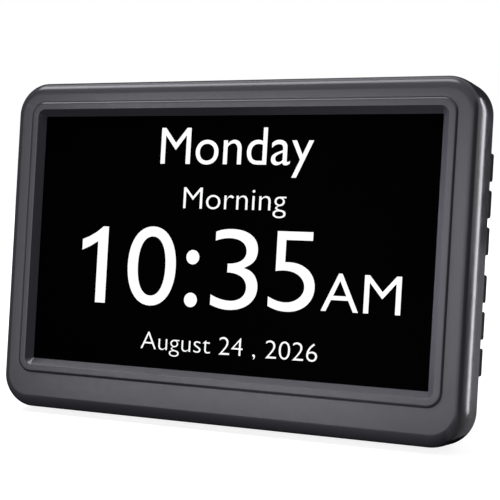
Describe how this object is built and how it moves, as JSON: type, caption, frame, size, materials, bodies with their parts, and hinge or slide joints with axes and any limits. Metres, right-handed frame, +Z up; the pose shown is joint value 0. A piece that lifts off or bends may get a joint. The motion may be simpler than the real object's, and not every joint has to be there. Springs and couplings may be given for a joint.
{
  "type": "digital calendar clock",
  "caption": "Desk calendar clock with a wide screen in a rounded frame, push buttons on its side and a fold-out rear leg that leans it back.",
  "frame": {"origin": "on the table, midway between the clock's foremost and rearmost points and between its sides", "axes": "+X to the viewer's right, along the screen; -Y towards the viewer; +Z up. The case leans back about X by 7.77 degrees, with its leg open."},
  "size_m": [0.1782, 0.0582, 0.1216],
  "materials": {
    "bezel_plastic": "fine moulded texture, charcoal",
    "cover_plastic": "moulded spark texture, charcoal",
    "button_plastic": "satin black",
    "screen_glass": "polished black screen face",
    "acrylic": "white light guide",
    "steel": "bright zinc plate",
    "black_screw": "black zinc",
    "circuit_board": "green solder mask",
    "chip": "moulded black",
    "can": "satin can",
    "socket": "ivory nylon",
    "ribbon": "amber film",
    "wire": "red and black insulation",
    "foam": "black closed foam",
    "rubber": "matt black",
    "brass": "bright",
    "cell": "nickel plate",
    "cone": "pressed paper",
    "magnet": "plated magnet",
    "label": "bare silver sticker"
  },
  "bodies": {
    "case": {"front_bezel": "bezel_plastic", "screen_gasket": "foam", "screen_glass": "screen_glass", "light_guide": "acrylic", "screen_tray": "steel", "screen_ribbon": "ribbon", "screen_clips": "steel", "clip_screws": "steel", "main_board": "circuit_board", "board_screws": "steel", "processor": "chip", "memory_chip": "chip", "capacitors": "can", "inductor": "chip", "crystal": "can", "board_sockets": "socket", "cell_holder": "chip", "coin_cell": "cell", "power_inlet": "chip", "inlet_contact": "brass", "button_board": "circuit_board", "button_switches": "chip", "button_ribbon": "ribbon", "speaker_gasket": "foam", "speaker_basket": "steel", "speaker_cone": "cone", "speaker_magnet": "magnet", "speaker_wires": "wire", "rear_cover": "cover_plastic", "rating_label": "label", "case_screws": "black_screw", "rubber_feet": "rubber", "kickstand_pin": "steel"},
    "leg": {"kickstand": "cover_plastic", "kickstand_boot": "rubber"},
    "key_1": {"button_1": "button_plastic", "plunger_1": "socket"},
    "key_2": {"button_2": "button_plastic", "plunger_2": "socket"},
    "key_3": {"button_3": "button_plastic", "plunger_3": "socket"},
    "key_4": {"button_4": "button_plastic", "plunger_4": "socket"},
    "key_5": {"button_5": "button_plastic", "plunger_5": "socket"},
    "key_6": {"button_6": "button_plastic", "plunger_6": "socket"}
  },
  "joints": [
    {"name": "leg_fold", "type": "hinge", "parent": "case", "child": "leg", "pos_m": [0, 0.00692, 0.09018], "axis": [-1, 0, 0], "range_deg": [0, 20]},
    {"name": "key_1_press", "type": "slide", "parent": "case", "child": "key_1", "axis": [-1, 0, 0], "range_m": [0, 0.0005], "stiffness_N_per_m": 1500, "springref_m": -0.0005},
    {"name": "key_2_press", "type": "slide", "parent": "case", "child": "key_2", "axis": [-1, 0, 0], "range_m": [0, 0.0005], "stiffness_N_per_m": 1500, "springref_m": -0.0005},
    {"name": "key_3_press", "type": "slide", "parent": "case", "child": "key_3", "axis": [-1, 0, 0], "range_m": [0, 0.0005], "stiffness_N_per_m": 1500, "springref_m": -0.0005},
    {"name": "key_4_press", "type": "slide", "parent": "case", "child": "key_4", "axis": [-1, 0, 0], "range_m": [0, 0.0005], "stiffness_N_per_m": 1500, "springref_m": -0.0005},
    {"name": "key_5_press", "type": "slide", "parent": "case", "child": "key_5", "axis": [-1, 0, 0], "range_m": [0, 0.0005], "stiffness_N_per_m": 1500, "springref_m": -0.0005},
    {"name": "key_6_press", "type": "slide", "parent": "case", "child": "key_6", "axis": [-1, 0, 0], "range_m": [0, 0.0005], "stiffness_N_per_m": 1500, "springref_m": -0.0005}
  ]
}
